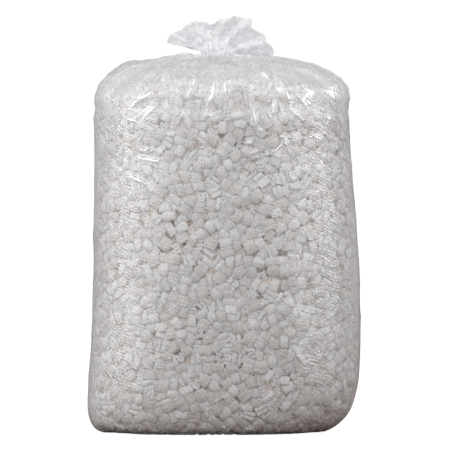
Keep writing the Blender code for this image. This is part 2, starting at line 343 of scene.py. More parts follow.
def pack_peanuts(per_litre=31.0, steps=180):
    """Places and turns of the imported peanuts, and their sizes. The peanuts behind press the outer ones onto the film,
    and most of those come to lie flat against it."""
    low = np.array([-0.43, -0.35, 0.0])
    high = np.array([0.43, 0.35, DOME[0]])
    tried = rng.uniform(low, high, size=(400000, 3))
    depth, _ = depth_in_fill(tried)
    inside = tried[(depth > 0.008) & (depth < SKIN - 0.008)]
    volume = np.prod(high - low) * ((depth > 0) & (depth < SKIN)).mean()
    count = int(volume * 1000 * per_litre)
    place = inside[:count].copy()
    turn = random_turns(count)
    size = rng.normal(1.125, 0.04, count).clip(1.02, 1.21)
    loose_place, loose_turn = loose_places()
    fixed = len(loose_place)
    place = np.concatenate([place, loose_place])
    turn = np.concatenate([turn, loose_turn])
    size = np.concatenate([size, np.ones(fixed)])
    total = count + fixed
    free = np.arange(total) < count
    proud = rng.uniform(0.0, 0.0032, total)  # how far each may press the film out
    willing = np.where(rng.random(total) < 0.84, 0.11, 0.02) * free
    local = BALLS[None] * size[:, None, None]
    n_balls = len(BALLS)
    owner = np.repeat(np.arange(total), n_balls)
    ball_free = np.repeat(free, n_balls)
    ball_proud = np.repeat(proud, n_balls)
    pair_a = pair_b = None
    for step in range(steps):
        grow = 0.62 + 0.38 * min(1.0, step / (0.6 * steps))
        radius = BALL * size[owner] * grow
        p = place[:, None, :] + np.einsum("nij,nkj->nki", turn, local * grow)
        p = p.reshape(-1, 3)
        if step % 6 == 0:
            pair_a, pair_b = near_pairs(p, 2 * BALL * 1.10 + 0.002)
            apart = owner[pair_a] != owner[pair_b]
            pair_a, pair_b = pair_a[apart], pair_b[apart]
        gap = p[pair_a] - p[pair_b]
        distance = np.linalg.norm(gap, axis=1) + 1e-9
        over = radius[pair_a] + radius[pair_b] - distance
        hit = over > 0
        a, b, push = pair_a[hit], pair_b[hit], (gap[hit] / distance[hit, None]) * over[hit, None]
        share_a = np.where(ball_free[b], 0.5, 1.0)[:, None]
        share_b = np.where(ball_free[a], 0.5, 1.0)[:, None]
        move = np.zeros_like(p)
        hits = np.bincount(a, minlength=len(p)) + np.bincount(b, minlength=len(p))
        for c in range(3):
            move[:, c] += np.bincount(a, push[:, c] * share_a[:, 0], minlength=len(p))
            move[:, c] -= np.bincount(b, push[:, c] * share_b[:, 0], minlength=len(p))
        move /= np.maximum(1.0, hits * 0.55)[:, None]
        p = p + move
        if step % 3 == 0:
            base_depth, out = depth_in_fill(p)
            base_p = p.copy()
        depth = base_depth - ((p - base_p) * out).sum(axis=1) + ball_proud * (out[:, 2] > -0.5)
        press = np.maximum(0.0, radius + 0.0012 - depth)
        lift = np.maximum(0.0, depth - (SKIN - radius))
        p = p - out * press[:, None] + out * lift[:, None] * 0.5
        if step < 0.85 * steps:
            p = p + out * np.minimum(0.00022, np.maximum(0.0, depth - radius - 0.0012))[:, None]
        p = p.reshape(total, n_balls, 3)
        middle = p.mean(axis=1)
        shape = np.einsum("nki,nkj->nij", p - middle[:, None], local)
        u, _, vt = np.linalg.svd(shape)
        sign = np.sign(np.linalg.det(u @ vt))
        u[:, :, 2] *= sign[:, None]
        fitted = u @ vt
        if step > 0.2 * steps:
            # The side that already faces the film most turns to face it straight.
            way = out.reshape(total, n_balls, 3).mean(axis=1)
            way /= np.linalg.norm(way, axis=1, keepdims=True) + 1e-9
            near = np.clip(1.6 - depth.reshape(total, n_balls).mean(axis=1) / 0.016, 0.0, 1.0)
            seen = np.einsum("nji,nj->ni", fitted, way)
            best = np.abs(seen).argmax(axis=1)
            row = np.arange(total)
            axis = fitted[row, :, best] * np.sign(seen[row, best])[:, None]
            fitted = turn_by(np.cross(axis, way) * (willing * near)[:, None]) @ fitted
        place[free] = middle[free]
        turn[free] = fitted[free]
    return place[:count], turn[:count], size[:count], loose_place, loose_turn


# ---------------------------------------------------------------- a peanut's mesh
def peanut_shape(points, rings, loops=2, hook=0.0, ribbon=PEANUT_RIBBON, bend=0.0):
    """Vertices and faces of a slice of serpentine foam ribbon, its two cut ends drawn in a little.
    Faces are quads; a tip's triangle repeats its last corner."""
    loop_w = (PEANUT_WIDTH - ribbon) / 2
    loop_h = (PEANUT_HEIGHT - ribbon) / (2 * loops)
    t = np.linspace(0.0, 1.0, points)
    if loops == 2:
        bend_x, rise, end = loop_w - 0.0026, 2 * loop_h, PEANUT_WIDTH / 2 - 0.0010 - hook
        half = np.array(
            [(end, rise), (-bend_x, rise), (-loop_w, 0.80 * rise), (-loop_w, 0.20 * rise), (-bend_x, 0.0)]
        )
        line = np.vstack([half, -half[::-1]])
        if points < 10:
            line = line[[0, 2, 3, 6, 7, 9]]
    else:  # a wave of half loops, one above the other
        phase = t * math.pi * loops
        x = loop_w * np.sign(np.sin(phase)) * np.abs(np.sin(phase)) ** 0.6
        y = loop_h * loops * (1 - 2 * t)
        line = np.stack([x, y], axis=1)
    way = np.gradient(line, axis=0)
    way /= np.linalg.norm(way, axis=1)[:, None]
    side = np.stack([-way[:, 1], way[:, 0]], axis=1) * ribbon / 2
    tip = 0.0009
    verts = []
    for w, shrink in rings:
        lift = bend * (w * w * 4 - 1 / 3)
        ring = np.vstack(
            [
                (line[0] - way[0] * tip * shrink)[None],
                line - side * shrink,
                (line[-1] + way[-1] * tip * shrink)[None],
                (line + side * shrink)[::-1],
            ]
        ) * (0.97 if shrink < 1 else 1.0)
        ring = np.column_stack([ring[:, 0] + lift, ring[:, 1], np.full(len(ring), w * PEANUT_LENGTH)])
        verts.append(ring)
    n = len(verts[0])
    verts = np.vstack(verts)
    k = np.arange(n)
    m = (k + 1) % n
    faces = []
    for i in range(len(rings) - 1):
        faces.append(np.stack([i * n + k, i * n + m, (i + 1) * n + m, (i + 1) * n + k], axis=1))
    # Ring order: tip, right side 1..points, tip, left side back to the start.
    right = np.arange(1, points + 1)
    left = np.arange(n - 1, points + 1, -1)
    last = (len(rings) - 1) * n
    strip = np.stack([right[:-1], left[:-1], left[1:], right[1:]], axis=1)
    faces.append(strip)
    faces.append(strip[:, ::-1] + last)
    tips = np.array([(0, left[0], right[0], right[0]), (points + 1, right[-1], left[-1], left[-1])])
    faces.append(tips)
    faces.append(np.array([(0, right[0], left[0], left[0]), (points + 1, left[-1], right[-1], right[-1])]) + last)
    faces = np.vstack(faces)
    return verts, faces


def swollen_shape(rings, outline, bend=0.0):
    """A peanut whose ribbon has swollen until its turns touch: a rounded block with a shallow dent where each slot
    was. Faces are quads; the fans that close the ends repeat their last corner."""
    line = np.array(outline + [(-x, -y) for x, y in outline])
    n = len(line)
    verts = []
    for w, shrink in rings:
        lift = bend * (w * w * 4 - 1 / 3)
        x, y = line.T * shrink
        verts.append(
            np.column_stack([x * PEANUT_WIDTH / 2 + lift, y * PEANUT_HEIGHT / 2, np.full(n, w * PEANUT_LENGTH)])
        )
    verts = np.vstack(verts + [[[0, 0, rings[0][0] * 1.03 * PEANUT_LENGTH], [0, 0, rings[-1][0] * 1.03 * PEANUT_LENGTH]]])
    k = np.arange(n)
    m = (k + 1) % n
    last = (len(rings) - 1) * n
    faces = [
        np.stack([i * n + k, i * n + m, (i + 1) * n + m, (i + 1) * n + k], axis=1) for i in range(len(rings) - 1)
    ]
    faces.append(np.stack([np.full(n, len(verts) - 2), m, k, k], axis=1))
    faces.append(np.stack([np.full(n, len(verts) - 1), last + k, last + m, last + m], axis=1))
    return verts, np.vstack(faces)


FULL = ((-0.5, 0.80), (-0.40, 0.99), (0.40, 0.99), (0.5, 0.80))
SWOLLEN = ((-0.5, 0.80), (-0.45, 0.96), (0.0, 1.03), (0.45, 0.96), (0.5, 0.80))
SWOLLEN_OUTLINE = [(0.62, -1.0), (0.98, -0.84), (0.92, -0.60), (1.04, -0.36), (1.03, 0.02), (0.93, 0.20), (1.04, 0.46), (1.0, 0.80), (0.68, 1.0)]
UNDER = ((-0.5, 0.93), (0.5, 0.93))
UNDER_OUTLINE = [(0.62, -1.0), (1.0, -0.66), (1.0, 0.66), (0.62, 1.0)]


def variants(number, swollen, rings, outline):
    """Different peanuts: the first ones with open slots, and then as many swollen ones as asked for."""
    made = []
    dice = np.random.default_rng(11)
    for k in range(number + swollen):
        if k < number:
            loops = 3 if k % 4 == 3 else 2
            ribbon = PEANUT_RIBBON * dice.uniform(1.05, 1.12) * (0.82 if loops == 3 else 1.0)
            points = 10 if loops == 2 else 12
            verts, faces = peanut_shape(
                points, FULL, loops, dice.uniform(-0.0004, 0.0012), ribbon, dice.uniform(-0.0022, 0.0022)
            )
        else:
            moved = [(x + dice.uniform(-0.03, 0.03), y + dice.uniform(-0.03, 0.03)) for x, y in outline]
            verts, faces = swollen_shape(rings, moved, dice.uniform(-0.0022, 0.0022))
        slots = verts[:, :2].copy() if k >= number else np.full((len(verts), 2), 1.0)
        verts = verts * dice.uniform(0.97, 1.05, 3)
        # An uneven skin: foam swells a little differently everywhere.
        verts += 0.00035 * np.sin(verts[:, [1, 2, 0]] * 310 + dice.uniform(0, 6, 3))
        made.append((verts, faces, slots))
    return made


def spread(shapes, places, turns, sizes, pick):
    """All the peanuts of one object as vertices, faces, a number for each vertex that tells its peanut, and where in
    its peanut's cross-section each vertex is."""
    verts, faces, tags, within, offset = [], [], [], [], 0
    for k, (v, f, slots) in enumerate(shapes):
        mine = np.nonzero(pick == k)[0]
        if not len(mine):
            continue
        put = np.einsum("nij,kj->nki", turns[mine], v) * sizes[mine][:, None, None] + places[mine][:, None]
        verts.append(put.reshape(-1, 3))
        base = offset + np.arange(len(mine))[:, None, None] * len(v)
        faces.append((f[None] + base).reshape(-1, 4))
        tags.append(np.repeat(mine, len(v)))
        within.append(np.tile(slots, (len(mine), 1)))
        offset += len(mine) * len(v)
    return np.concatenate(verts), np.concatenate(faces), np.concatenate(tags), np.concatenate(within)


def mesh_object(name, verts, faces, material, floats=None, sharp=None):
    """A mesh object from arrays. A face whose last two corners are one is a triangle."""
    mesh = bpy.data.meshes.new(name)
    triangle = faces[:, 2] == faces[:, 3]
    size = np.where(triangle, 3, 4)
    loops = faces.reshape(-1)[(np.arange(4)[None] < size[:, None]).reshape(-1)]
    mesh.vertices.add(len(verts))
    mesh.vertices.foreach_set("co", np.ascontiguousarray(verts, dtype=np.float32).reshape(-1))
    mesh.loops.add(len(loops))
    mesh.loops.foreach_set("vertex_index", loops.astype(np.int32))
    mesh.polygons.add(len(faces))
    starts = np.concatenate([[0], np.cumsum(size)[:-1]]).astype(np.int32)
    mesh.polygons.foreach_set("loop_start", starts)
    mesh.update(calc_edges=True)
    mesh.shade_smooth()
    for key, values in (floats or {}).items():
        layer = mesh.attributes.new(key, "FLOAT", "POINT")
        layer.data.foreach_set("value", np.ascontiguousarray(values, dtype=np.float32))
    mesh.materials.append(material)
    if sharp:
        mesh.set_sharp_from_angle(angle=math.radians(sharp))
    made = bpy.data.objects.new(name, mesh)
    bpy.context.scene.collection.objects.link(made)
    return made


# ---------------------------------------------------------------- materials
def new_material(name):
    made = bpy.data.materials.new(name)
    made.use_nodes = True
    tree = made.node_tree
    tree.nodes.clear()
    return made, tree


def node(tree, kind, **inputs):
    made = tree.nodes.new(kind)
    for key, value in inputs.items():
        if key in made.bl_rna.properties.keys() and key not in ("inputs", "outputs"):
            setattr(made, key, value)
        else:
            made.inputs[key.replace("_", " ")].default_value = value
    return made


def foam_material(name, light, dark, painted_shade_colour, roughness):
    """Expanded foam: a fine skin of cells, soft dents, each peanut a slightly different white, and a painted warm shade
    where the light only comes through the foam around it."""
    made, tree = new_material(name)
    link = tree.links.new
    out = node(tree, "ShaderNodeOutputMaterial")
    shader = node(tree, "ShaderNodeBsdfPrincipled", Roughness=roughness)
    shader.inputs["Specular IOR Level"].default_value = 0.3
    shader.inputs["Subsurface Weight"].default_value = 0.6
    shader.inputs["Subsurface Radius"].default_value = (1.0, 0.84, 0.76)
    shader.inputs["Subsurface Scale"].default_value = 0.010
    link(shader.outputs[0], out.inputs[0])
    where = node(tree, "ShaderNodeTexCoord")
    cells = node(tree, "ShaderNodeTexVoronoi", Scale=620.0)
    dents = node(tree, "ShaderNodeTexNoise", Scale=120.0, Detail=3.0)
    blotch = node(tree, "ShaderNodeTexNoise", Scale=45.0, Detail=2.0)
    for n in (cells, dents, blotch):
        link(where.outputs["Object"], n.inputs["Vector"])
    own = node(tree, "ShaderNodeAttribute", attribute_name="tone")
    mixed = node(tree, "ShaderNodeMath", operation="MULTIPLY_ADD")
    link(blotch.outputs["Fac"], mixed.inputs[0])
    mixed.inputs[1].default_value = 0.45
    link(own.outputs["Fac"], mixed.inputs[2])
    ramp = node(tree, "ShaderNodeValToRGB")
    ramp.color_ramp.elements[0].position = 0.15
    ramp.color_ramp.elements[0].color = (*dark, 1)
    ramp.color_ramp.elements[1].position = 0.95
    ramp.color_ramp.elements[1].color = (*light, 1)
    link(mixed.outputs[0], ramp.inputs[0])
    # Painted warm shade: foam deeper under the fill's surface is tinted warm, for the light that only comes through the
    # foam around it.
    painted_warm_shade = node(tree, "ShaderNodeAttribute", attribute_name="painted_warm_shade")
    painted_shade_mix = node(tree, "ShaderNodeMixRGB")
    link(painted_warm_shade.outputs["Fac"], painted_shade_mix.inputs[0])
    link(ramp.outputs[0], painted_shade_mix.inputs[1])
    painted_shade_mix.inputs[2].default_value = (*painted_shade_colour, 1)
    # The turns of a swollen peanut touch, and show as ribs with thin grooves between them: a dent by bump, and a darker
    # colour in the grooves that is painted shade.
    slot_x = node(tree, "ShaderNodeAttribute", attribute_name="slot_x")
    slot_y = node(tree, "ShaderNodeAttribute", attribute_name="slot_y")
    curve = node(tree, "ShaderNodeMath", operation="MULTIPLY")
    link(slot_x.outputs["Fac"], curve.inputs[0])
    link(slot_x.outputs["Fac"], curve.inputs[1])
    bowed = node(tree, "ShaderNodeMath", operation="MULTIPLY_ADD")
    link(curve.outputs[0], bowed.inputs[0])
    bowed.inputs[1].default_value = 14.0
    link(slot_y.outputs["Fac"], bowed.inputs[2])
    wavy = node(tree, "ShaderNodeMath", operation="MULTIPLY_ADD")
    link(blotch.outputs["Fac"], wavy.inputs[0])
    wavy.inputs[1].default_value = 0.004
    link(bowed.outputs[0], wavy.inputs[2])
    turns_ = node(tree, "ShaderNodeMath", operation="PINGPONG")
    link(wavy.outputs[0], turns_.inputs[0])
    turns_.inputs[1].default_value = PEANUT_HEIGHT / 10
    groove = node(tree, "ShaderNodeMapRange", interpolation_type="SMOOTHSTEP")
    for k, v in zip((1, 2, 3, 4), (PEANUT_HEIGHT / 10 - 0.0015, PEANUT_HEIGHT / 10 - 0.0001, 0.0, 1.0)):
        groove.inputs[k].default_value = v
    link(turns_.outputs[0], groove.inputs[0])
    ribbed = node(tree, "ShaderNodeMath", operation="LESS_THAN")
    link(slot_y.outputs["Fac"], ribbed.inputs[0])
    ribbed.inputs[1].default_value = 0.5
    slot = node(tree, "ShaderNodeMath", operation="MULTIPLY")
    link(groove.outputs[0], slot.inputs[0])
    link(ribbed.outputs[0], slot.inputs[1])
    shaded = node(tree, "ShaderNodeMath", operation="MULTIPLY")
    link(slot.outputs[0], shaded.inputs[0])
    shaded.inputs[1].default_value = 0.85
    # Painted shade: the grooves get a darker, warmer colour.
    groove_painted_shade = node(tree, "ShaderNodeMixRGB")
    link(shaded.outputs[0], groove_painted_shade.inputs[0])
    link(painted_shade_mix.outputs[0], groove_painted_shade.inputs[1])
    groove_painted_shade.inputs[2].default_value = (0.70, 0.63, 0.585, 1)
    link(groove_painted_shade.outputs[0], shader.inputs["Base Color"])
    sunk = node(tree, "ShaderNodeMath", operation="MULTIPLY_ADD")
    link(slot.outputs[0], sunk.inputs[0])
    sunk.inputs[1].default_value = -1.2
    link(dents.outputs["Fac"], sunk.inputs[2])
    low = node(tree, "ShaderNodeBump", Strength=0.75, Distance=0.0016)
    high = node(tree, "ShaderNodeBump", Strength=0.25, Distance=0.0004)
    link(sunk.outputs[0], low.inputs["Height"])
    link(cells.outputs["Distance"], high.inputs["Height"])
    link(low.outputs[0], high.inputs["Normal"])
    link(high.outputs[0], shader.inputs["Normal"])
    return made


def film_material():
    """Thin polyethylene film: clear, glossy on its creases with painted glints along its folds, milky where it is
    gathered or lies in layers.
    """
    made, tree = new_material("clear_film_crinkled")
    link = tree.links.new
    out = node(tree, "ShaderNodeOutputMaterial")
    clear = node(tree, "ShaderNodeBsdfTransparent", Color=(0.970, 0.970, 0.972, 1))
    gloss = node(tree, "ShaderNodeBsdfGlossy", Color=(0.96, 0.96, 0.97, 1), Roughness=0.09)
    milk = node(tree, "ShaderNodeBsdfDiffuse", Color=(0.93, 0.93, 0.95, 1))
    through = node(tree, "ShaderNodeBsdfTranslucent", Color=(0.91, 0.91, 0.94, 1))
    haze = node(tree, "ShaderNodeMixShader", Fac=0.38)
    link(milk.outputs[0], haze.inputs[1])
    link(through.outputs[0], haze.inputs[2])
    where = node(tree, "ShaderNodeTexCoord")
    big = node(tree, "ShaderNodeTexNoise", Scale=26.0, Detail=3.0, Roughness=0.6)
    fine_noise = node(tree, "ShaderNodeTexNoise", Scale=210.0, Detail=3.0, Roughness=0.65)
    patchy = node(tree, "ShaderNodeTexNoise", Scale=75.0, Detail=4.0, Roughness=0.7)
    for n in (big, fine_noise, patchy):
        link(where.outputs["Object"], n.inputs["Vector"])
    bump_a = node(tree, "ShaderNodeBump", Strength=0.8, Distance=0.004)
    bump_b = node(tree, "ShaderNodeBump", Strength=0.65, Distance=0.0012)
    link(big.outputs["Fac"], bump_a.inputs["Height"])
    link(fine_noise.outputs["Fac"], bump_b.inputs["Height"])
    link(bump_a.outputs[0], bump_b.inputs["Normal"])
    slant = node(tree, "ShaderNodeAttribute", attribute_name="slant")
    at_side = node(tree, "ShaderNodeAttribute", attribute_name="at_side")
    bent = node(tree, "ShaderNodeMath", operation="MULTIPLY_ADD")
    link(big.outputs["Fac"], bent.inputs[0])
    bent.inputs[1].default_value = 0.030
    link(slant.outputs["Fac"], bent.inputs[2])
    pleat = node(tree, "ShaderNodeMath", operation="PINGPONG")
    link(bent.outputs[0], pleat.inputs[0])
    pleat.inputs[1].default_value = 0.0052
    pleats = node(tree, "ShaderNodeMath", operation="MULTIPLY")
    link(pleat.outputs[0], pleats.inputs[0])
    link(at_side.outputs["Fac"], pleats.inputs[1])
    bump_c = node(tree, "ShaderNodeBump", Strength=1.0, Distance=0.55)
    link(pleats.outputs[0], bump_c.inputs["Height"])
    link(bump_b.outputs[0], bump_c.inputs["Normal"])
    for n in (gloss, milk, through):
        link(bump_c.outputs[0], n.inputs["Normal"])
    # Milkiness: the attribute says how milky the film is, and it is uneven, and stronger where it is seen on edge.
    layers = node(tree, "ShaderNodeAttribute", attribute_name="milk")
    uneven = node(tree, "ShaderNodeMapRange")
    for k, v in zip((1, 2, 3, 4), (0.32, 0.68, 0.62, 1.38)):
        uneven.inputs[k].default_value = v
    link(patchy.outputs["Fac"], uneven.inputs[0])
    amount = node(tree, "ShaderNodeMath", operation="MULTIPLY")
    link(layers.outputs["Fac"], amount.inputs[0])
    link(uneven.outputs[0], amount.inputs[1])
    strewn = node(tree, "ShaderNodeTexNoise", Scale=30.0, Detail=2.0)
    link(where.outputs["Object"], strewn.inputs["Vector"])
    moved = node(tree, "ShaderNodeVectorMath", operation="MULTIPLY_ADD")
    link(strewn.outputs["Color"], moved.inputs[0])
    moved.inputs[1].default_value = (0.030, 0.030, 0.030)
    link(where.outputs["Object"], moved.inputs[2])
    crackle = node(tree, "ShaderNodeTexVoronoi", feature="DISTANCE_TO_EDGE", Scale=52.0)
    link(moved.outputs[0], crackle.inputs["Vector"])
    crinkle = node(tree, "ShaderNodeMapRange", interpolation_type="SMOOTHSTEP")
    for k, v in zip((1, 2, 3, 4), (0.008, 0.062, 1.0, 0.0)):
        crinkle.inputs[k].default_value = v
    link(crackle.outputs["Distance"], crinkle.inputs[0])
    creased = node(tree, "ShaderNodeMath", operation="MULTIPLY_ADD")
    link(crinkle.outputs[0], creased.inputs[0])
    creased.inputs[1].default_value = 0.34
    link(amount.outputs[0], creased.inputs[2])
    amount = creased
    ribbed = node(tree, "ShaderNodeMath", operation="MULTIPLY_ADD", use_clamp=True)
    link(pleats.outputs[0], ribbed.inputs[0])
    ribbed.inputs[1].default_value = 34.0
    link(amount.outputs[0], ribbed.inputs[2])
    edge = node(tree, "ShaderNodeLayerWeight", Blend=0.5)
    sharp = node(tree, "ShaderNodeMath", operation="POWER")
    link(edge.outputs["Facing"], sharp.inputs[0])
    sharp.inputs[1].default_value = 4.0
    thick = node(tree, "ShaderNodeMath", operation="MULTIPLY_ADD", use_clamp=True)
    link(sharp.outputs[0], thick.inputs[0])
    thick.inputs[1].default_value = 0.55
    link(ribbed.outputs[0], thick.inputs[2])
    body = node(tree, "ShaderNodeMixShader")
    link(thick.outputs[0], body.inputs[0])
    link(clear.outputs[0], body.inputs[1])
    link(haze.outputs[0], body.inputs[2])
    # Thin film reflects the same from both sides, so the reflection is reckoned from the angle alone.
    # A fold gets extra gloss along a thin line, a painted glint: its distance across the fold is carried by the mesh,
    # its width is set here.
    across = node(tree, "ShaderNodeAttribute", attribute_name="across_fold")
    shown = node(tree, "ShaderNodeAttribute", attribute_name="fold")
    aside = node(tree, "ShaderNodeMath", operation="ABSOLUTE")
    link(across.outputs["Fac"], aside.inputs[0])
    line = node(tree, "ShaderNodeMapRange", interpolation_type="SMOOTHSTEP")
    for k, v in zip((1, 2, 3, 4), (0.0006, 0.0031, 1.0, 0.0)):
        line.inputs[k].default_value = v
    link(aside.outputs[0], line.inputs[0])
    # Painted glints: the folds and the crinkle lines add to the gloss share.
    fold_painted_glint = node(tree, "ShaderNodeMath", operation="MULTIPLY")
    link(line.outputs[0], fold_painted_glint.inputs[0])
    link(shown.outputs["Fac"], fold_painted_glint.inputs[1])
    painted_glints = node(tree, "ShaderNodeMath", operation="MULTIPLY_ADD")
    link(crinkle.outputs[0], painted_glints.inputs[0])
    painted_glints.inputs[1].default_value = 0.13
    link(fold_painted_glint.outputs[0], painted_glints.inputs[2])
    least = node(tree, "ShaderNodeMath", operation="ADD")
    link(painted_glints.outputs[0], least.inputs[0])
    least.inputs[1].default_value = 0.055
    shine = node(tree, "ShaderNodeMath", operation="MULTIPLY_ADD", use_clamp=True)
    link(sharp.outputs[0], shine.inputs[0])
    shine.inputs[1].default_value = 0.45
    link(least.outputs[0], shine.inputs[2])
    top = node(tree, "ShaderNodeMixShader")
    link(shine.outputs[0], top.inputs[0])
    link(body.outputs[0], top.inputs[1])
    link(gloss.outputs[0], top.inputs[2])
    # Seen quite on edge the film is a long way through; there it gets a dark diffuse colour, a painted shade along its
    # outline.
    rim = node(tree, "ShaderNodeMath", operation="POWER")
    link(edge.outputs["Facing"], rim.inputs[0])
    rim.inputs[1].default_value = 10.0
    rim_part = node(tree, "ShaderNodeMath", operation="MULTIPLY")
    link(rim.outputs[0], rim_part.inputs[0])
    rim_part.inputs[1].default_value = 0.72
    painted_rim_shade = node(tree, "ShaderNodeBsdfDiffuse", Color=(0.34, 0.32, 0.32, 1))
    all_of_it = node(tree, "ShaderNodeMixShader")
    link(rim_part.outputs[0], all_of_it.inputs[0])
    link(top.outputs[0], all_of_it.inputs[1])
    link(painted_rim_shade.outputs[0], all_of_it.inputs[2])
    link(all_of_it.outputs[0], out.inputs[0])
    return made


def tie_material():
    made, tree = new_material("coated_wire_worn")
    link = tree.links.new
    out = node(tree, "ShaderNodeOutputMaterial")
    shader = node(tree, "ShaderNodeBsdfPrincipled", Roughness=0.4)
    link(shader.outputs[0], out.inputs[0])
    where = node(tree, "ShaderNodeTexCoord")
    noise = node(tree, "ShaderNodeTexNoise", Scale=160.0, Detail=4.0)
    link(where.outputs["Object"], noise.inputs["Vector"])
    ramp = node(tree, "ShaderNodeValToRGB")
    ramp.color_ramp.elements[0].color = (0.62, 0.62, 0.60, 1)
    ramp.color_ramp.elements[1].color = (0.88, 0.88, 0.86, 1)
    link(noise.outputs["Fac"], ramp.inputs[0])
    link(ramp.outputs[0], shader.inputs["Base Color"])
    bump = node(tree, "ShaderNodeBump", Strength=0.3, Distance=0.0005)
    link(noise.outputs["Fac"], bump.inputs["Height"])
    link(bump.outputs[0], shader.inputs["Normal"])
    return made


foam = foam_material("white_foam_skin", (0.950, 0.955, 0.960), (0.905, 0.908, 0.912), (0.97, 0.905, 0.845), 0.72)
# The deeper peanuts and the core are warmer, darker copies of the same foam: painted shade for the gaps between the
# outer peanuts.
deep_foam_painted_shade = foam_material("white_foam_deep_painted_shade", (0.97, 0.925, 0.885), (0.95, 0.885, 0.83), (0.95, 0.86, 0.77), 0.8)
core_foam_painted_shade = foam_material("white_foam_core_painted_shade", (0.93, 0.84, 0.755), (0.89, 0.78, 0.675), (0.92, 0.80, 0.70), 0.9)
film = film_material()
tie = tie_material()

# ---------------------------------------------------------------- the peanuts
place, turn, size, loose_place, loose_turn = pack_peanuts()
print(f"packed {len(place)} peanuts in {time.time() - started:.1f} s")
depth, out = depth_in_fill(place)
outer = depth < 0.027
shapes = variants(4, 9, SWOLLEN, SWOLLEN_OUTLINE)
PRESSED = 1.055  # soft foam under load: the peanuts fill the gaps that hard ones would leave


def painted_warm_shade(points):
    """How far under the fill's surface a point is: 0 at the film, 1 where only foam-coloured light gets. It sets the
    foam's painted warm shade.
    """
    return smooth(depth_in_fill(points)[0], 0.005, 0.022)


plain_shapes = variants(0, 4, UNDER, UNDER_OUTLINE)
tones = rng.uniform(0.0, 0.55, len(place))
pick = rng.integers(0, len(shapes), len(place))
plain_pick = rng.integers(0, len(plain_shapes), len(place))
angle = np.degrees(np.arctan2(place[:, 1], place[:, 0])) % 360
on_top = (out[:, 2] > 0.72) & (place[:, 2] > 0.9)
sector = np.where(on_top, 4, ((angle + 45) // 90).astype(int) % 4)
triangles = 0
near_film = []
for number, name in enumerate(("right", "back", "left", "front", "heap")):
    mine = np.nonzero(outer & (sector == number))[0]
    verts, faces, tags, within = spread(shapes, place[mine], turn[mine], size[mine] * PRESSED, pick[mine])
    made = mesh_object(f"peanuts_{name}", verts, faces, foam, {"tone": tones[mine][tags], "painted_warm_shade": painted_warm_shade(verts), "slot_x": within[:, 0], "slot_y": within[:, 1]}, 60)
    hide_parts("peanut_fill")
    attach(made, "root")
    triangles += len(faces) * 2
    near_film.append(verts)
    print(made.name, len(mine), len(faces) * 2)
# The peanuts under the outer ones wear the warmer, darker foam, which is painted shade.
for number, name in enumerate(("left", "right")):
    mine = np.nonzero(~outer & ((place[:, 0] > 0) == bool(number)))[0]
    verts, faces, tags, within = spread(plain_shapes, place[mine], turn[mine], size[mine] * PRESSED, plain_pick[mine])
    made = mesh_object(f"peanuts_under_{name}", verts, faces, deep_foam_painted_shade, {"tone": tones[mine][tags], "painted_warm_shade": painted_warm_shade(verts), "slot_x": within[:, 0], "slot_y": within[:, 1]}, 60)
    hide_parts("peanut_fill")
    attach(made, "root")
    triangles += len(faces) * 2
    print(made.name, len(mine), len(faces) * 2)
verts, faces, tags, within = spread(
    shapes, loose_place, loose_turn, np.ones(len(loose_place)), np.arange(len(loose_place)) % 3
)
made = mesh_object("peanuts_loose", verts, faces, foam, {"tone": rng.uniform(0, 0.55, 100)[tags], "painted_warm_shade": np.zeros(len(verts)), "slot_x": within[:, 0], "slot_y": within[:, 1]}, 60)
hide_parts(*[f"peanut_{k + 1:02d}" for k in range(LOOSE_PEANUTS)])
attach(made, "root")
triangles += len(faces) * 2

# The core: what is behind the peanuts that are made one by one. Its foam is darker and warmer, painted shade for the
# gaps.
theta = np.linspace(0, 2 * math.pi, 48, endpoint=False)
rings = []
inset = SKIN - 0.016
for z in (inset, 0.10, 0.2, 0.4, 0.6, 0.8, FILL_EDGE - inset * 0.7):
    half_w, half_d, shift, square = section_at(z)
    r = polar(theta, half_w - inset, half_d - inset, square)
    rings.append(np.stack([shift + r * np.cos(theta), r * np.sin(theta), np.full(48, z)], axis=1))
for part in (0.9, 0.75, 0.5, 0.25, 0.05):
    r = polar(theta, heap_w - inset, heap_d - inset, heap_square) * part
    x, y = heap_shift + r * np.cos(theta), r * np.sin(theta)
    rings.append(np.stack([x, y, heap_height(x, y) - inset * 0.9], axis=1))
rings.insert(0, np.tile([[heap_shift, 0.0, inset]], (48, 1)) + 0.02 * np.stack([np.cos(theta), np.sin(theta), 0 * theta], axis=1))
verts = np.vstack(rings)
k = np.arange(48)
faces = [
    np.stack([i * 48 + k, i * 48 + (k + 1) % 48, (i + 1) * 48 + (k + 1) % 48, (i + 1) * 48 + k], axis=1)
    for i in range(len(rings) - 1)
]
verts = np.vstack([verts, [[heap_shift, 0.0, inset]], verts[-48:].mean(axis=0)[None]])
foot_c, top_c = len(verts) - 2, len(verts) - 1
faces.append(np.stack([np.full(48, foot_c), (k + 1) % 48, k, k], axis=1))
last = (len(rings) - 1) * 48
faces.append(np.stack([np.full(48, top_c), last + k, last + (k + 1) % 48, last + (k + 1) % 48], axis=1))
far_off = np.ones(len(verts))
core = mesh_object("peanuts_core", verts, np.vstack(faces), core_foam_painted_shade, {"tone": 0.3 * far_off, "painted_warm_shade": far_off, "slot_x": far_off, "slot_y": far_off})
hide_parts("peanut_fill")
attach(core, "root")

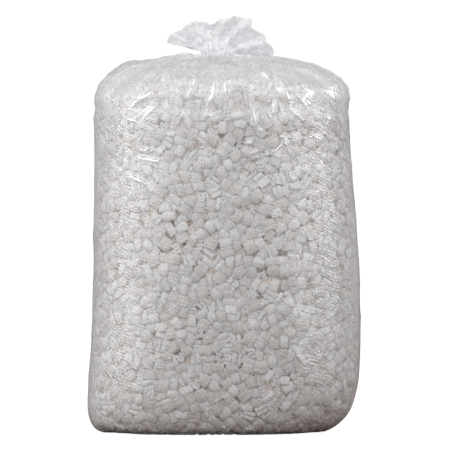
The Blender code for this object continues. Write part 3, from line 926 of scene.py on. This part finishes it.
# ---------------------------------------------------------------- the film
AROUND = 360
theta = np.linspace(0, 2 * math.pi, AROUND, endpoint=False)
theta = theta + 0.40 * (1 - np.cos(theta))  # columns stand closer together at the front
theta = np.sort(theta % (2 * math.pi))
side_s = np.concatenate([np.linspace(0.0, 0.80, 106, endpoint=False), np.linspace(0.80, along[10], 40, endpoint=False)])
top_s = along[10] + (PROFILE_LENGTH - along[10]) * np.linspace(0.0, 1.0, 74) ** 1.2
rise = np.concatenate([side_s, top_s])
z, half_w, half_d, shift, square = [c[:, None] for c in profile(rise)]
r = polar(theta[None], half_w, half_d, square)
base = np.stack(
    [shift + r * np.cos(theta[None]), r * np.sin(theta[None]), np.repeat(z, AROUND, axis=1)], axis=2
)


def normals(grid):
    around = np.roll(grid, -1, axis=1) - np.roll(grid, 1, axis=1)
    up = np.gradient(grid, axis=0)
    n = np.cross(around, up)
    return n / np.linalg.norm(n, axis=2, keepdims=True)


out_n = normals(base)

# How far the peanuts reach out of the base surface, cell by cell, and the film stretched over them.
reach = np.full(base.shape[:2], -0.0060)
points = np.concatenate(near_film)
d, _ = wall_depth(points)
close = (d < 0.0045) & (points[:, 2] < 1.09) & (points[:, 2] > 0.004)
points, d = points[close], d[close]
_, _, at_shift, _ = section_at(points[:, 2])
bearing = np.arctan2(points[:, 1], points[:, 0] - at_shift) % (2 * math.pi)
col = np.searchsorted(theta, bearing) % AROUND
col = np.where(np.abs(theta[col] - bearing) > np.abs(theta[col - 1] - bearing), (col - 1) % AROUND, col)
row = np.searchsorted(base[:, 0, 2], points[:, 2]).clip(0, len(rise) - 1)
for dr in (-1, 0):
    for dc in (-1, 0, 1):
        np.maximum.at(reach, ((row + dr).clip(0, len(rise) - 1), (col + dc) % AROUND), -d)
film_h = reach.copy()
for _ in range(60):
    around = (np.roll(film_h, 1, 1) + np.roll(film_h, -1, 1)) / 4
    up = (np.vstack([film_h[:1], film_h[:-1]]) + np.vstack([film_h[1:], film_h[-1:]])) / 4
    film_h = np.maximum(reach, around + up)
print("film over peanuts mm", (film_h.min() * 1e3).round(2), (film_h.max() * 1e3).round(2), (film_h.std() * 1e3).round(2))
held = 1 - smooth(z, 0.99, 1.08)  # above the heap's edge the film is free
film_h = film_h * held + 0.0009


def folds(p, seed, waves, number):
    """Crumpled film: flat facets that meet in sharp creases, from triangle waves in random directions."""
    dice = np.random.default_rng(seed)
    total = np.zeros(p.shape[:-1])
    for _ in range(number):
        way = dice.normal(size=3)
        way /= np.linalg.norm(way)
        wave = dice.uniform(*waves)
        x = p @ way / wave + dice.uniform(0, 1)
        warp = 0.12 * np.sin(p @ dice.normal(size=3) * 9 + dice.uniform(0, 6))
        t = (x + warp) % 1.0
        total += (np.abs(2 * t - 1) - 0.5) * wave
    return total / number


free = smooth(z, 0.97, 1.07)
neck = np.array([NECK_X, 0.0, NECK_Z])
from_neck = base - neck
far = np.hypot(from_neck[..., 0], from_neck[..., 1])
bearing = np.arctan2(from_neck[..., 1], from_neck[..., 0])
crumple = folds(base, 3, (0.10, 0.26), 7) * 0.16 + folds(base, 4, (0.035, 0.09), 9) * 0.16
gathers = np.zeros_like(far)
dice = np.random.default_rng(5)
for count_, size_ in ((9, 0.5), (14, 0.7), (23, 0.8), (37, 0.7), (61, 0.4)):
    phase = dice.uniform(0, 6.28)
    wave = count_ * bearing + 0.9 * np.sin(2 * bearing + phase) + 3.0 * far + phase
    gathers += size_ * (np.abs((wave / (2 * math.pi)) % 1.0 * 2 - 1) - 0.5)
gathers *= 0.019 * np.minimum(1.0, far / 0.10) * np.exp(-far / 0.30)
# Where the side walls turn to the back, the film is drawn into fine slanting wrinkles.
side = np.abs(np.cos(theta))[None] ** 4 * smooth(z, 0.05, 0.2)
slant = np.sign(np.cos(theta))[None] * base[..., 1] * 0.75 + base[..., 2]
wrinkles = (np.abs((slant / 0.026 + 0.35 * np.sin(slant * 21)) % 1.0 * 2 - 1) - 0.5) * 0.0042 * side

# Single sharp folds that stand up from the film, each with a painted glint along it: points (x, z) seen from the front
# at the film's own distance, and how strongly each glint shows.
FOLDS = (
    (((-0.118, 1.155), (-0.204, 1.124), (-0.225, 1.092)), 1.0),
    (((-0.224, 1.057), (-0.296, 1.006)), 0.95),
    (((-0.215, 1.011), (-0.249, 0.977)), 1.0),
    (((-0.227, 1.014), (-0.252, 0.996)), 0.7),
    (((-0.292, 0.975), (-0.267, 0.968)), 1.0),
    (((0.056, 1.066), (0.068, 0.998)), 1.0),
    (((0.148, 1.032), (0.151, 0.998)), 1.0),
    (((0.194, 1.060), (0.206, 1.008)), 1.0),
    (((0.256, 1.055), (0.241, 1.021)), 1.0),
    (((0.329, 1.076), (0.351, 1.002)), 1.0),
    (((0.046, 0.906), (0.074, 0.893), (0.096, 0.918)), 1.2),
    (((0.086, 0.943), (0.123, 0.937)), 0.8),
    (((0.169, 0.918), (0.209, 0.915)), 0.8),
    (((0.179, 0.897), (0.151, 0.872), (0.050, 0.835)), 0.9),
    (((0.151, 0.894), (0.068, 0.857)), 0.8),
    (((-0.082, 0.887), (0.000, 0.860)), 0.9),
    (((-0.258, 0.882), (-0.233, 0.876), (-0.205, 0.878)), 0.8),
    (((-0.258, 0.854), (-0.187, 0.841)), 0.8),
    (((-0.289, 0.799), (-0.242, 0.777)), 0.8),
    (((-0.003, 1.171), (0.019, 1.171)), 0.9),
    (((-0.074, 1.140), (-0.101, 1.063)), 0.7),
    (((0.013, 1.126), (0.022, 1.069)), 0.4),
    (((0.103, 1.140), (0.157, 1.082)), 0.5),
    (((-0.024, 1.113), (-0.039, 1.044)), 0.4),
    (((-0.352, 1.097), (-0.343, 1.019)), 0.6),
    (((0.214, 1.129), (0.260, 1.077)), 0.5),
)
# Short folds strewn over the front of the shoulders: small ridges, each with a painted glint.
dice = np.random.default_rng(31)
short = []
for _ in range(54):
    fx, fz = dice.uniform(-0.31, 0.34), 0.905 + 0.235 * dice.random() ** 0.8
    lean = math.atan2(fz - NECK_Z - 0.12, fx - NECK_X) + dice.normal() * 0.30
    long = dice.uniform(0.012, 0.042)
    if fz < 0.955:
        lean += dice.choice((-1.0, 0.0, 1.0))
    short.append((((fx, fz), (fx + long * math.cos(lean), fz + long * math.sin(lean))), dice.uniform(0.25, 0.75)))


def lay_folds(points, lines, facing, reach=0.0105):
    """For each point the height of the folds' ridge, its distance across the nearest fold and how strongly that one's
    painted glint shows.
    """
    ridge, fold = np.zeros(points.shape[:2]), np.zeros(points.shape[:2])
    across, nearest = np.full(points.shape[:2], 0.012), np.full(points.shape[:2], 9.0)
    for line, strength in lines:
        line = np.array(line)
        lengths = np.linalg.norm(np.diff(line, axis=0), axis=1)
        total_length, walked = lengths.sum(), 0.0
        best, where_on, hand = np.full(ridge.shape, 9.0), np.zeros(ridge.shape), np.ones(ridge.shape)
        for a, b, long in zip(line[:-1], line[1:], lengths):
            px, pz = points[..., 0] - a[0], points[..., 2] - a[1]
            t = ((px * (b[0] - a[0]) + pz * (b[1] - a[1])) / long**2).clip(0, 1)
            off = np.hypot(px - t * (b[0] - a[0]), pz - t * (b[1] - a[1]))
            nearer = off < best
            best = np.where(nearer, off, best)
            hand = np.where(nearer, np.sign(px * (b[1] - a[1]) - pz * (b[0] - a[0])), hand)
            where_on = np.where(nearer, (walked + t * long) / total_length, where_on)
            walked += long
        fade = strength * (0.35 + 0.65 * np.sin(math.pi * where_on.clip(0, 1))) * facing
        ridge = np.maximum(ridge, 0.0034 * np.maximum(0.0, 1 - best / 0.0085) * fade)
        mine = (best < reach) & (best < nearest) & facing
        nearest = np.where(mine, best, nearest)
        across = np.where(mine, hand * best, across)
        fold = np.where(mine, fade, fold)
    return ridge, across, fold


ridge, across_fold, fold = lay_folds(base, FOLDS + tuple(short), base[..., 1] < -0.04)
lift = film_h + (crumple + gathers) * free + wrinkles + ridge
lift -= 0.0065 * smooth(z, 1.035, 1.075) * (1 - smooth(z, 1.135, 1.155))
film_top = base + out_n * lift[..., None]

# From the shoulders into the neck, through the tie and out into the tuft.
neck_rows = []
for z_n, radius, depth_ in ((1.1735, 0.058, 0.0040), (1.1755, 0.042, 0.0032), (1.1772, 0.031, 0.0026), (1.1790, 0.0245, 0.0020), (1.1830, 0.0215, 0.0016), (1.1880, 0.0215, 0.0016), (1.192, 0.0225, 0.0018)):
    wave = 0.0
    for count_, size_ in ((16, 0.6), (23, 0.5), (37, 0.4)):
        wave = wave + size_ * np.cos(count_ * theta + 1.3 * np.sin(2 * theta + count_))
    rr = radius + depth_ * wave
    neck_rows.append(np.stack([NECK_X + rr * np.cos(theta), rr * np.sin(theta), np.full(AROUND, z_n)], axis=1))
start = neck_rows[-1]
edge_deg, edge_len = zip(*TUFT_EDGE)
half_turn = np.where(theta <= math.pi, theta, 2 * math.pi - theta)
front = theta > math.pi
degrees = edge_deg[0] + (edge_deg[-1] - edge_deg[0]) * half_turn / math.pi
length = np.interp(degrees, edge_deg, edge_len)
length = length * np.where(front & (degrees > 20) & (degrees < 150), 0.94, 1.0)
length = length + 0.0018 * np.sin(degrees * 0.33) + 0.0009 * np.sin(degrees * 0.81 + 1)
fan = np.radians(degrees)
tuft_rows = []
tuft_ts = np.concatenate([np.linspace(0.03, 0.36, 14), np.linspace(0.39, 1.0, 24)])
ahead, behind = np.maximum(0.0, -np.sin(theta)), np.maximum(0.0, np.sin(theta))
for t in tuft_ts:
    ruffle = (
        np.sin(2 * math.pi * 5.5 * half_turn / math.pi + 0.9 + 0.8 * t)
        + 0.35 * np.sin(2 * math.pi * 11 * half_turn / math.pi + 2.0 + 2 * front - 1.2 * t)
    )
    depth_ = 0.036 * np.sin(theta) * (0.45 + 0.55 * t) + 0.0085 * ruffle * t
    # The front and the back of the tuft fall outwards over the tie before they rise.
    droop = math.exp(-(((t - 0.17) / 0.14) ** 2))
    fx = NECK_X + length * t * np.cos(fan) * (1 + 0.25 * droop)
    fy = depth_ - 0.046 * droop * ahead**0.6 + 0.020 * droop * behind**0.6
    fz = NECK_Z + 0.004 + length * t * np.sin(fan) - droop * (0.033 * ahead**0.5 + 0.012 * behind**0.5)
    freed = min(1.0, t / 0.20) ** 0.8
    up_z = start[:, 2] + 0.006 * min(1.0, t / 0.10)
    ring = np.stack(
        [
            start[:, 0] + (fx - start[:, 0]) * freed,
            start[:, 1] + (fy - start[:, 1]) * freed,
            up_z * (1 - freed) + fz * freed,
        ],
        axis=1,
    )
    tuft_rows.append(ring)
tuft = np.array(tuft_rows)
tuft_n = normals(tuft)
tuft_t = tuft_ts[:, None]
rumple = folds(tuft * np.array([1, 0.6, 1]), 8, (0.030, 0.070), 5) * 0.42 + folds(tuft, 9, (0.012, 0.024), 4) * 0.22
tuft += tuft_n * (rumple * smooth(tuft_t, 0.08, 0.5))[..., None]
# Short lines of painted glint strewn over the front of the tuft.
short = []
for _ in range(70):
    at = tuft[dice.integers(6, len(tuft) - 2), dice.integers(AROUND // 2, AROUND)]
    lean, long = dice.uniform(0, 2 * math.pi), dice.uniform(0.006, 0.020)
    short.append((((at[0], at[2]), (at[0] + long * math.cos(lean), at[2] + long * math.sin(lean))), dice.uniform(0.3, 1.0)))
_, tuft_across, tuft_fold = lay_folds(tuft, short, np.repeat(front[None], len(tuft), axis=0), 0.0060)

foot_rows = []
for part in np.linspace(0.04, 0.97, 8):
    ring = film_top[0].copy()
    ring[:, 0] = rows[0, 3] + (ring[:, 0] - rows[0, 3]) * part
    ring[:, 1] *= part
    ring[:, 2] = 0.0006
    foot_rows.append(ring)
grid = np.concatenate([np.array(foot_rows), film_top, np.array(neck_rows), tuft])
scallop = np.zeros(AROUND)
for count_, size_ in ((41, 0.5), (59, 0.6), (83, 0.5)):
    scallop += size_ * np.sin(count_ * theta + dice.uniform(0, 6.28))
n_walls = len(film_top)
low_down = (1 - smooth(base[:, 0, 2], 0.0, 0.045))
low_down = np.concatenate([smooth(np.linspace(0.04, 0.97, len(foot_rows)), 0.75, 1.0), low_down])
grid[: len(foot_rows) + n_walls, :, 2] += 0.0042 * scallop.clip(0, 1)[None] * low_down[:, None]
grid[..., 2] = np.maximum(grid[..., 2], 0.0003)
n_rows = len(grid)
k = np.arange(AROUND)
faces = [
    np.stack([i * AROUND + k, i * AROUND + (k + 1) % AROUND, (i + 1) * AROUND + (k + 1) % AROUND, (i + 1) * AROUND + k], axis=1)
    for i in range(n_rows - 1)
]
verts = grid.reshape(-1, 3)
verts = np.vstack([verts, verts[:AROUND].mean(axis=0)[None]])
faces.append(np.stack([np.full(AROUND, len(verts) - 1), (k + 1) % AROUND, k, k], axis=1))
faces = np.vstack(faces)
milk = np.full(grid.shape[:2], 0.12) + 0.18 * smooth(grid[..., 2], 0.88, 1.06)
away = np.linalg.norm((grid - neck) * np.array([0.8, 0.7, 1.3]), axis=2)
milk += 1.15 * np.exp(-((away / 0.085) ** 2)) + 0.26 * np.exp(-((away / 0.15) ** 2))
milk[-len(tuft):] += 0.42 + 0.26 * smooth(tuft_t, 0.965, 1.0)
ears = smooth(heap_shift - grid[..., 0], 0.300, 0.360) * smooth(grid[..., 2], 0.90, 1.0) * (1 - smooth(grid[..., 2], 1.10, 1.14))
milk[: -len(tuft)] += 0.20 * ears[: -len(tuft)]
right_ear = smooth(grid[..., 0] - heap_shift, 0.290, 0.350) * smooth(grid[..., 2], 0.90, 1.0) * (1 - smooth(grid[..., 2], 1.10, 1.14))
milk[: -len(tuft)] += 0.13 * right_ear[: -len(tuft)]
# The strength of the painted glints along the folds and on the tuft.
shine, aside = np.zeros(grid.shape[:2]), np.full(grid.shape[:2], 0.012)
shine[len(foot_rows) : len(foot_rows) + len(film_top)] = fold
aside[len(foot_rows) : len(foot_rows) + len(film_top)] = across_fold
shine[-len(tuft):], aside[-len(tuft):] = 0.75 * tuft_fold, tuft_across * 2.0
milk = np.append(milk.clip(0, 0.95).reshape(-1), 0.05)
shine, aside = np.append(0.85 * shine.reshape(-1), 0.0), np.append(aside.reshape(-1), 0.012)
walls = slice(len(foot_rows), len(foot_rows) + len(film_top))
slanting, at_side = np.zeros(grid.shape[:2]), np.zeros(grid.shape[:2])
slanting[walls], at_side[walls] = slant, side * (1 - 0.6 * free)
slanting, at_side = np.append(slanting.reshape(-1), 0.0), np.append(at_side.reshape(-1), 0.0)
bag = mesh_object(
    "film_bag_sheet", verts, faces, film,
    {"milk": milk, "fold": shine, "across_fold": aside, "slant": slanting, "at_side": at_side},
)
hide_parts("film_bag")
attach(bag, "root")
triangles += len(faces) * 2
print("film triangles", len(faces) * 2, "all", triangles)

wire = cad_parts["neck_tie"]
wire.data.materials.clear()
wire.data.materials.append(tie)

# ---------------------------------------------------------------- floor, light and camera
scene = bpy.context.scene
scene.view_settings.view_transform = "Standard"
scene.cycles.transparent_max_bounces = 24
scene.cycles.max_bounces = 12
scene.cycles.diffuse_bounces = 7

floor_mesh = bpy.data.meshes.new("floor")
floor_mesh.from_pydata([(-9, -9, -0.0002), (9, -9, -0.0002), (9, 9, -0.0002), (-9, 9, -0.0002)], [], [(0, 1, 2, 3)])
floor = bpy.data.objects.new("floor", floor_mesh)
scene.collection.objects.link(floor)
floor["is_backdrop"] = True
floor_mat, tree = new_material("pale_floor")
out_node = node(tree, "ShaderNodeOutputMaterial")
matte = node(tree, "ShaderNodeBsdfDiffuse", Color=(0.19, 0.14, 0.12, 1))
glow = node(tree, "ShaderNodeEmission", Color=(1, 1, 1, 1), Strength=0.99)
both = node(tree, "ShaderNodeAddShader")
seen = node(tree, "ShaderNodeLightPath")
pick_shader = node(tree, "ShaderNodeMixShader")
tree.links.new(matte.outputs[0], both.inputs[0])
tree.links.new(glow.outputs[0], both.inputs[1])
tree.links.new(seen.outputs["Is Camera Ray"], pick_shader.inputs[0])
tree.links.new(matte.outputs[0], pick_shader.inputs[1])
tree.links.new(both.outputs[0], pick_shader.inputs[2])
tree.links.new(pick_shader.outputs[0], out_node.inputs[0])
floor_mesh.materials.append(floor_mat)

world = bpy.data.worlds.new("studio")
scene.world = world
world.use_nodes = True
tree = world.node_tree
tree.nodes.clear()
w_out = node(tree, "ShaderNodeOutputWorld")
# A soft tent of light, brighter behind the bag than in front of it. What the film mirrors is brighter than what
# lights the foam, because the tent's panels are bright and far between.
way = node(tree, "ShaderNodeTexCoord")
parts = node(tree, "ShaderNodeSeparateXYZ")
tree.links.new(way.outputs["Generated"], parts.inputs[0])
high = node(tree, "ShaderNodeMapRange", interpolation_type="SMOOTHSTEP")
for k, v in zip((1, 2, 3, 4), (0.0, 0.9, 0.0, 0.03)):
    high.inputs[k].default_value = v
back = node(tree, "ShaderNodeMapRange", interpolation_type="SMOOTHSTEP")
for k, v in zip((1, 2, 3, 4), (-0.3, 0.7, 0.665, 0.60)):
    back.inputs[k].default_value = v
tree.links.new(parts.outputs["Z"], high.inputs[0])
tree.links.new(parts.outputs["Y"], back.inputs[0])
total = node(tree, "ShaderNodeMath", operation="ADD")
tree.links.new(high.outputs[0], total.inputs[0])
tree.links.new(back.outputs[0], total.inputs[1])
dim = node(tree, "ShaderNodeBackground", Color=(1.0, 0.987, 0.978, 1))
tree.links.new(total.outputs[0], dim.inputs[1])
# The film mirrors bright panels beside and above the camera, and a dim gap between them.
panels = node(tree, "ShaderNodeMapRange")
for k, v in zip((1, 2, 3, 4), (-1.0, 1.0, 0.0, 1.0)):
    panels.inputs[k].default_value = v
tree.links.new(parts.outputs["Y"], panels.inputs[0])
ramp = node(tree, "ShaderNodeValToRGB")
ramp.color_ramp.elements[0].position, ramp.color_ramp.elements[0].color = 0.030, (0.18, 0.18, 0.18, 1)
ramp.color_ramp.elements[1].position, ramp.color_ramp.elements[1].color = 1.0, (0.24, 0.24, 0.25, 1)
for place_, level in ((0.090, 0.85), (0.300, 0.85), (0.430, 0.24)):
    stop = ramp.color_ramp.elements.new(place_)
    stop.color = (level, level, level, 1)
tree.links.new(panels.outputs[0], ramp.inputs[0])
mirrored = node(tree, "ShaderNodeBackground", Strength=2.3)
tree.links.new(ramp.outputs[0], mirrored.inputs[0])
white = node(tree, "ShaderNodeBackground", Color=(1, 1, 1, 1), Strength=1.05)
seen = node(tree, "ShaderNodeLightPath")
gloss_mix = node(tree, "ShaderNodeMixShader")
tree.links.new(seen.outputs["Is Glossy Ray"], gloss_mix.inputs[0])
tree.links.new(dim.outputs[0], gloss_mix.inputs[1])
tree.links.new(mirrored.outputs[0], gloss_mix.inputs[2])
mix = node(tree, "ShaderNodeMixShader")
tree.links.new(seen.outputs["Is Camera Ray"], mix.inputs[0])
tree.links.new(gloss_mix.outputs[0], mix.inputs[1])
tree.links.new(white.outputs[0], mix.inputs[2])
tree.links.new(mix.outputs[0], w_out.inputs[0])


def area_light(name, at, aim, width, height, power, colour=(1, 1, 1)):
    data = bpy.data.lights.new(name, "AREA")
    data.shape = "RECTANGLE"
    data.size, data.size_y = width, height
    data.energy = power
    data.color = colour
    made = bpy.data.objects.new(name, data)
    made.location = at
    made.rotation_euler = (Vector(aim) - Vector(at)).to_track_quat("-Z", "Y").to_euler()
    scene.collection.objects.link(made)
    return made


key = area_light("key_above", (-0.40, -1.50, 1.75), (0.0, -0.2, 0.80), 1.4, 0.7, 4.0)
key.visible_glossy = False
top_light = area_light("soft_top", (-0.03, -0.65, 2.15), (-0.03, 0.0, 1.18), 0.8, 0.5, 0.2)
top_light.visible_glossy = False
front_light = area_light("soft_front", (-1.0, -2.8, 1.35), (-0.15, 0.0, 1.0), 1.6, 0.9, 12.0)
front_light.visible_glossy = False
back_light = area_light("soft_back", (0.3, 3.0, 0.6), (0.0, 0.0, 0.6), 1.8, 1.2, 8.0)
back_light.visible_glossy = False
neck_light = area_light("soft_neck", (-0.03, -0.62, 2.15), (-0.02, -0.06, 1.17), 0.15, 0.15, 0.05)
neck_light.data.spread = math.radians(28)
neck_light.visible_glossy = False
area_light("fill_left", (-2.6, -0.7, 1.2), (0.0, 0.0, 0.6), 1.6, 2.0, 15)
area_light("fill_right", (2.6, -0.25, 1.7), (0.1, 0.0, 1.0), 1.4, 1.2, 17)

camera_data = bpy.data.cameras.new("camera")
camera = bpy.data.objects.new("camera", camera_data)
scene.collection.objects.link(camera)
scene.camera = camera
distance, elevation = 12.0, math.radians(0.0)
aim = Vector((0.0035, 0.0, 0.648))
camera.location = aim + Vector((0.0, -math.cos(elevation), math.sin(elevation))) * distance
camera.rotation_euler = (aim - camera.location).to_track_quat("-Z", "Y").to_euler()
camera_data.sensor_width = 36
camera_data.sensor_fit = "HORIZONTAL"
camera_data.lens = 18.0 / (0.7095 / distance)

{"cad": [list(map(float, c)) for c in cad_box], "visual": [list(map(float, c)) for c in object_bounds()], "triangles": int(triangles), "peanuts": len(place), "seconds": time.time() - started}
print(f"built in {time.time() - started:.1f} s")
